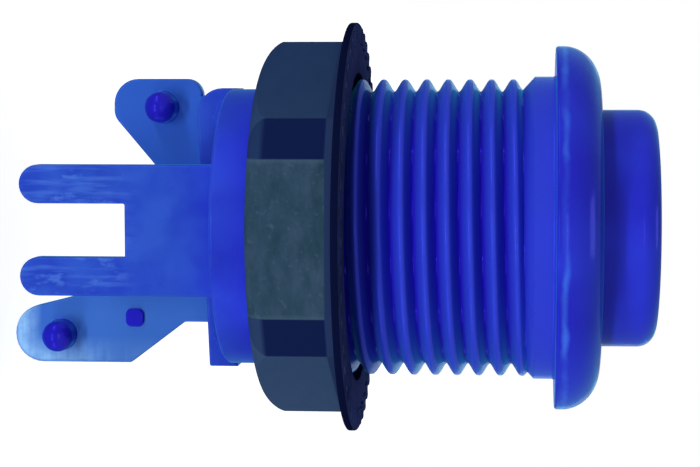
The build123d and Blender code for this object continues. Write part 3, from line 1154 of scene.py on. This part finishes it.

# %% [markdown]
# Each skin now rides on the body that it belongs to and stands for its plain node, which is hidden.
# The spring rides on the housing and gets a mesh of its own.

# %% Bodies
for made, body, node, slot in (
    (housing, "housing", "housing", "blue_plastic"),
    (plunger, "plunger", "plunger", "blue_plastic"),
    (nut, "nut", "panel_nut", "dark_plastic"),
    (spring, "housing", "return_spring", "spring_steel"),
):
    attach(made, body)
    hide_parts(node)
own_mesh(spring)
print("four pieces dressed")

# %% [markdown]
# The portrait shows the button lying on its side against plain white. The camera stands on the -Y
# side, with +Z to the right and -X up, a little behind the bezel.

# %% Camera
camera_place = Vector((-12.6, -173.1, -2.0)) * mm
camera_aim = Vector((0.1, 0.0, -15.1)) * mm
picture_up = Vector((-1, 0, 0))
view = (camera_aim - camera_place).normalized()
picture_right = view.cross(picture_up).normalized()
axes = Matrix((picture_right, picture_right.cross(view), -view)).transposed()
lens = bpy.data.cameras.new("portrait")
lens.sensor_width = 36
lens.lens = 95.7
lens.shift_x = -0.061
lens.shift_y = -0.008
lens.clip_start = 5 * mm
camera = bpy.data.objects.new("portrait", lens)
camera.matrix_world = Matrix.Translation(camera_place) @ axes.to_4x4()
scene.collection.objects.link(camera)
scene.camera = camera
print("camera", round((camera_aim - camera_place).length / mm), "mm away")

# %% [markdown]
# Plain soft light from six lamps. The key stands to the left of the picture, nearly forty degrees off
# the camera, and shades the plunger beside the bezel, the thread beside the flange and one side of
# each ridge. Two long lamps on the same side, one above and one below, light the flats that face up
# and down. A narrow one behind the camera, a little to its right, puts a glint on the bezel's crown.
# The last two serve the views from the front and from behind. The world is white to the camera and to
# reflections, and dim otherwise.

# %% Lamps
button_middle = Vector((0, 0, -20)) * mm
for name, place, width, height, watts in (
    ("key", (0.05, -0.78, -0.48), 0.6, 0.07, 3.5),
    ("upper", (-0.75, -0.4, -0.33), 0.8, 0.1, 3.7),
    ("lower", (0.75, -0.4, -0.33), 0.8, 0.1, 3.8),
    ("catch", (0.03, -0.78, 0.13), 0.4, 0.025, 0.32),
    ("front", (0.0, 0.05, 0.9), 0.3, 0.3, 0.9),
    ("back", (0.1, 0.7, -0.1), 0.6, 0.6, 1.6),
):
    lamp = bpy.data.lights.new(name, "AREA")
    lamp.shape = "RECTANGLE"
    lamp.size = width
    lamp.size_y = height
    lamp.energy = watts
    softbox = bpy.data.objects.new(name, lamp)
    softbox.location = place
    softbox.rotation_euler = (button_middle - Vector(place)).to_track_quat("-Z", "Y").to_euler()
    scene.collection.objects.link(softbox)

# %% White surroundings
world = bpy.data.worlds.new("white surroundings")
world.use_nodes = True
tree = world.node_tree
tree.nodes.clear()
ray = add(tree, "ShaderNodeLightPath").outputs
seen = ray["Is Camera Ray"]
for kind in ("Is Glossy Ray", "Is Transmission Ray"):
    seen = add(tree, "ShaderNodeMath", {0: seen, 1: ray[kind]}, operation="MAXIMUM")
strength = add(tree, "ShaderNodeMapRange", {0: seen, 3: 0.25, 4: 1.0})
background = add(tree, "ShaderNodeBackground", {"Color": linear("#ffffff"), "Strength": strength})
add(tree, "ShaderNodeOutputWorld", {"Surface": background})
scene.world = world
print("world of", len(tree.nodes), "nodes")

# %% [markdown]
# Seen from elsewhere the button stands on its long ear, so the floor lies below that. It is plain and
# pale, and nearly white to the camera. Four of the lamps are below it: the floor lets lamp light
# through, or it would stand between them and the button.

# %% Floor
floor_level = housing_low.z - 0.5 * mm
floor_half = 0.6
floor_mesh = bmesh.new()
bmesh.ops.create_grid(floor_mesh, x_segments=1, y_segments=1, size=floor_half)
bmesh.ops.translate(floor_mesh, verts=floor_mesh.verts, vec=(0, 0, floor_level))
pale_floor, tree = new_material("Pale floor, matt")
ray = add(tree, "ShaderNodeLightPath").outputs
paint = add(tree, "ShaderNodeBsdfDiffuse", {"Color": linear("#f4f4f4")})
lift = add(tree, "ShaderNodeMath", {0: ray["Is Camera Ray"], 1: 0.8}, operation="MULTIPLY")
glow = add(tree, "ShaderNodeEmission", {"Color": linear("#ffffff"), "Strength": lift})
both = add(tree, "ShaderNodeAddShader", {0: paint, 1: glow})
clear = add(tree, "ShaderNodeBsdfTransparent")
passing = add(tree, "ShaderNodeMixShader", {0: ray["Is Shadow Ray"], 1: both, 2: clear})
add(tree, "ShaderNodeOutputMaterial", {"Surface": passing})
floor = piece("floor", floor_mesh, pale_floor)
print("floor at", round(floor_level / mm, 1), "mm")

# %% [markdown]
# The standard view transform shows a colour as it is written.

# %% View settings
scene.view_settings.view_transform = "Standard"
